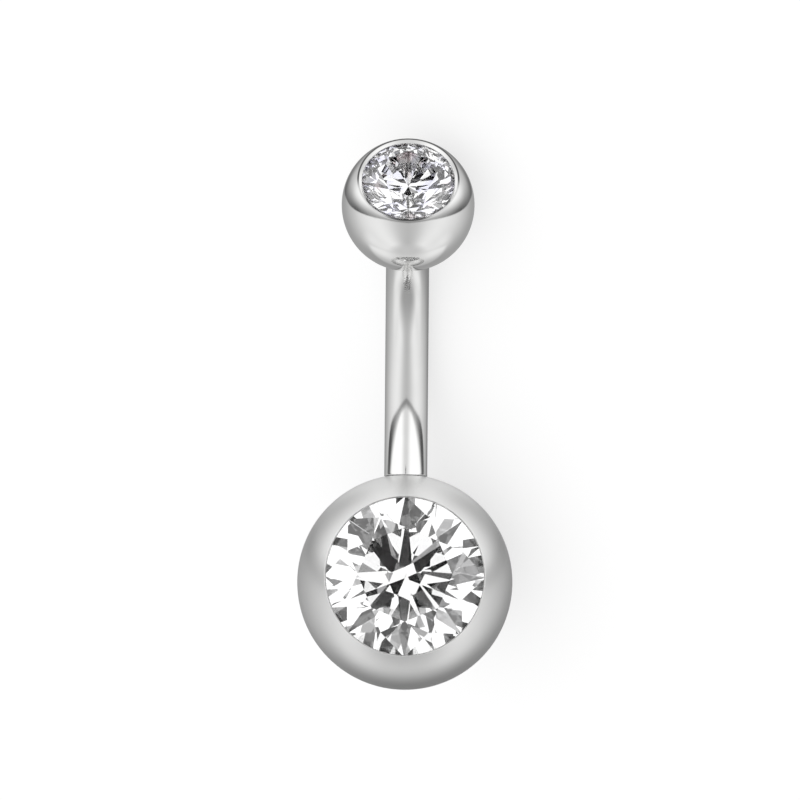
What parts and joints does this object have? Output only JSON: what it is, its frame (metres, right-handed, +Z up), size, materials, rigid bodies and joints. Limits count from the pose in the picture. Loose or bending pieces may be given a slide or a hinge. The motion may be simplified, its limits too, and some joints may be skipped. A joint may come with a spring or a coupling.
{
  "type": "navel ring",
  "caption": "Curved steel barbell for a navel piercing: a bent bar between a large and a small ball, each set with a round cut stone; the small ball screws off.",
  "frame": {"origin": "on the surface that the piece lies on, under the middle of its bounding box", "axes": "+Z up from the surface; +Y from the small ball towards the large ball; +X to the side that the belly of the bar leans to"},
  "size_m": [0.008, 0.0212, 0.008],
  "materials": {
    "bar_steel": "polished surgical steel with a soft shine",
    "ball_steel": "satin-polished surgical steel, smooth and bright",
    "clear_stone": "clear cubic zirconia, round brilliant cut, sharp polished facets"
  },
  "bodies": {
    "barbell": {"curved_bar": "bar_steel", "large_ball": "ball_steel", "large_stone": "clear_stone"},
    "screw_ball": {"small_ball": "ball_steel", "small_stone": "clear_stone"}
  },
  "joints": [
    {"name": "small_ball_off", "type": "slide", "parent": "barbell", "child": "screw_ball", "axis": [-0.3042, -0.8804, 0.3639], "range_m": [0, 0.002]}
  ]
}
